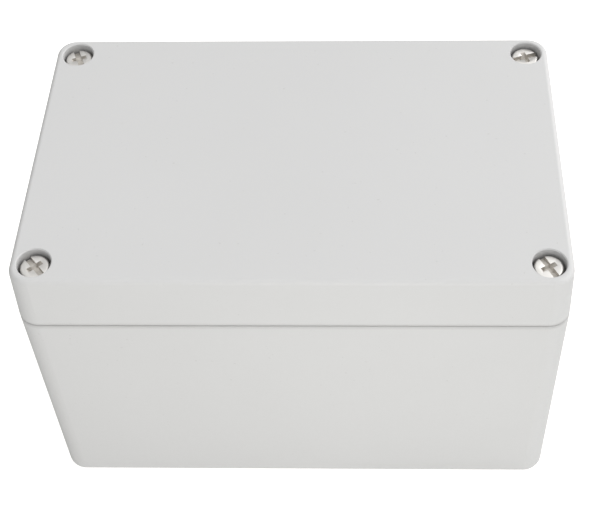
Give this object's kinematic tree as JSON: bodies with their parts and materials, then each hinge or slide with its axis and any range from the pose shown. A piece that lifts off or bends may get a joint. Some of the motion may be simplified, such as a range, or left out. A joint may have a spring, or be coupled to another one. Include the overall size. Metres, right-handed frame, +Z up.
{
  "type": "die cast aluminium enclosure",
  "caption": "Deep rectangular die cast enclosure with a shallow lift-off lid, a gasketed seam and captive slotted cross-recess screws sunk in the lid's corners.",
  "frame": {"origin": "centre of the underside, on the surface that the box stands on", "axes": "+X along the long side, -Y is the front, +Z up through the lid"},
  "size_m": [0.16, 0.101, 0.104],
  "materials": {
    "coated_casting": "fine-textured light grey powder coat, semi-matte",
    "gasket_rubber": "matte black moulded seal",
    "stainless_steel": "bright turned stainless",
    "nylon": "natural nylon",
    "brass_washer": "satin"
  },
  "bodies": {
    "base": {"base": "coated_casting"},
    "lid": {"lid": "coated_casting", "gasket": "gasket_rubber"},
    "screw_ring_front_left": {"screw_ring_front_left": "nylon"},
    "lid_screw_front_left": {"lid_screw_front_left": "stainless_steel"},
    "screw_ring_front_right": {"screw_ring_front_right": "nylon"},
    "lid_screw_front_right": {"lid_screw_front_right": "stainless_steel"},
    "screw_ring_rear_left": {"screw_ring_rear_left": "nylon"},
    "lid_screw_rear_left": {"lid_screw_rear_left": "stainless_steel"},
    "screw_ring_rear_right": {"screw_ring_rear_right": "nylon"},
    "lid_screw_rear_right": {"lid_screw_rear_right": "stainless_steel"},
    "earth_washers": {"earth_clamp_washer": "brass_washer", "earth_spring_washer": "stainless_steel"},
    "earth_screw": {"earth_screw": "stainless_steel"}
  },
  "joints": [
    {"name": "lid_lift", "type": "slide", "parent": "base", "child": "lid", "axis": [0, 0, 1], "range_m": [0, 0.12]},
    {"name": "front_left_screw_rise", "type": "slide", "parent": "lid", "child": "screw_ring_front_left", "axis": [0, 0, 1], "range_m": [0, 0.0087]},
    {"name": "front_left_screw_turn", "type": "hinge", "parent": "screw_ring_front_left", "child": "lid_screw_front_left", "pos_m": [-0.0723, -0.0428, 0.0844], "axis": [0, 0, 1], "range_deg": [0, 3915.05]},
    {"name": "front_right_screw_rise", "type": "slide", "parent": "lid", "child": "screw_ring_front_right", "axis": [0, 0, 1], "range_m": [0, 0.0087]},
    {"name": "front_right_screw_turn", "type": "hinge", "parent": "screw_ring_front_right", "child": "lid_screw_front_right", "pos_m": [0.0723, -0.0428, 0.0844], "axis": [0, 0, 1], "range_deg": [0, 3915.05]},
    {"name": "rear_left_screw_rise", "type": "slide", "parent": "lid", "child": "screw_ring_rear_left", "axis": [0, 0, 1], "range_m": [0, 0.0087]},
    {"name": "rear_left_screw_turn", "type": "hinge", "parent": "screw_ring_rear_left", "child": "lid_screw_rear_left", "pos_m": [-0.0723, 0.0428, 0.0844], "axis": [0, 0, 1], "range_deg": [0, 3915.05]},
    {"name": "rear_right_screw_rise", "type": "slide", "parent": "lid", "child": "screw_ring_rear_right", "axis": [0, 0, 1], "range_m": [0, 0.0087]},
    {"name": "rear_right_screw_turn", "type": "hinge", "parent": "screw_ring_rear_right", "child": "lid_screw_rear_right", "pos_m": [0.0723, 0.0428, 0.0844], "axis": [0, 0, 1], "range_deg": [0, 3915.05]},
    {"name": "earth_screw_rise", "type": "slide", "parent": "base", "child": "earth_washers", "axis": [0, 0, 1], "range_m": [0, 0.003]},
    {"name": "earth_screw_turn", "type": "hinge", "parent": "earth_washers", "child": "earth_screw", "pos_m": [0.062, 0, 0.0105], "axis": [0, 0, 1], "range_deg": [0, 1350.05]}
  ],
  "couplings": [
    {"joint": "front_left_screw_turn", "follows": "front_left_screw_rise", "rad_per_m": 7854},
    {"joint": "front_right_screw_turn", "follows": "front_right_screw_rise", "rad_per_m": 7854},
    {"joint": "rear_left_screw_turn", "follows": "rear_left_screw_rise", "rad_per_m": 7854},
    {"joint": "rear_right_screw_turn", "follows": "rear_right_screw_rise", "rad_per_m": 7854},
    {"joint": "earth_screw_turn", "follows": "earth_screw_rise", "rad_per_m": 7854}
  ]
}
